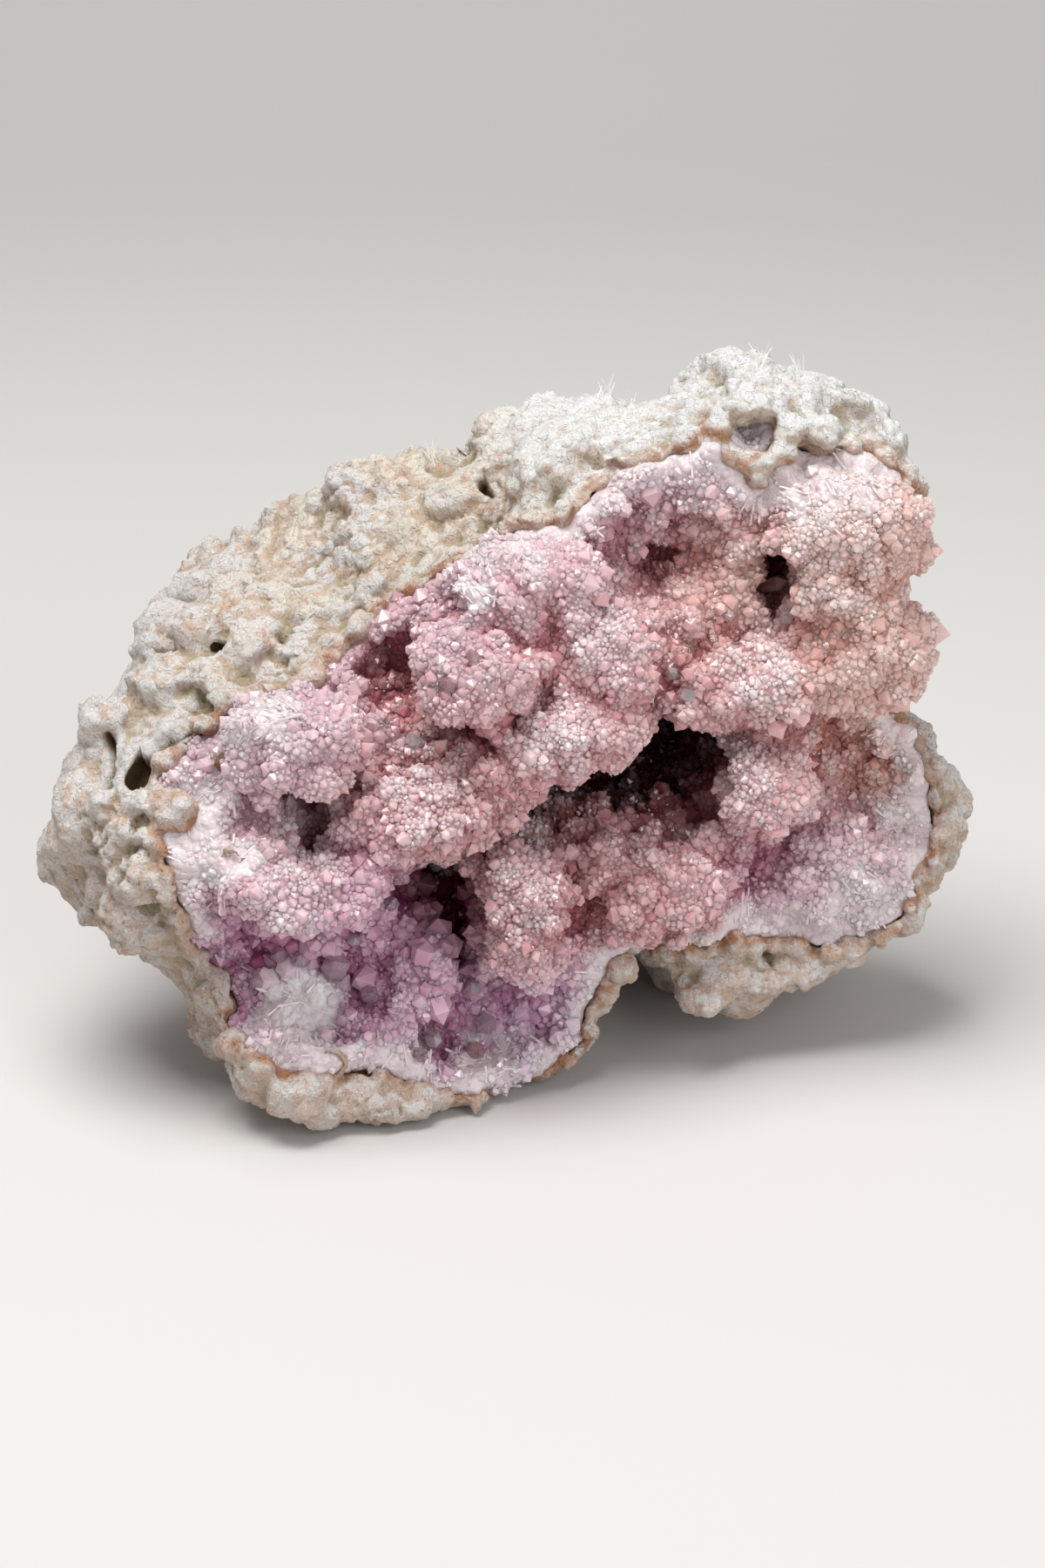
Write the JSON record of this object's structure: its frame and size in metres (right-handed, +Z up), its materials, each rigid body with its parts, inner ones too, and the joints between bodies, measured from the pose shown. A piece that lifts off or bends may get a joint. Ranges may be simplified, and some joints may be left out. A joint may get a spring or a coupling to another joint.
{
  "type": "amethyst geode",
  "caption": "Broken geode of pink and violet amethyst: a lumpy chalky rind round a crust of quartz crystals with deep pockets.",
  "frame": {"origin": "on the ground, under the middle of the specimen's outline", "axes": "+Z up, +X along the width of the broken face, -Y the way the broken face looks"},
  "size_m": [0.1298, 0.0822, 0.0956],
  "materials": {
    "rind": "matte",
    "quartz": "gloss"
  },
  "bodies": {
    "root": {"rind": "rind", "crystal_bed": "quartz"}
  },
  "joints": []
}
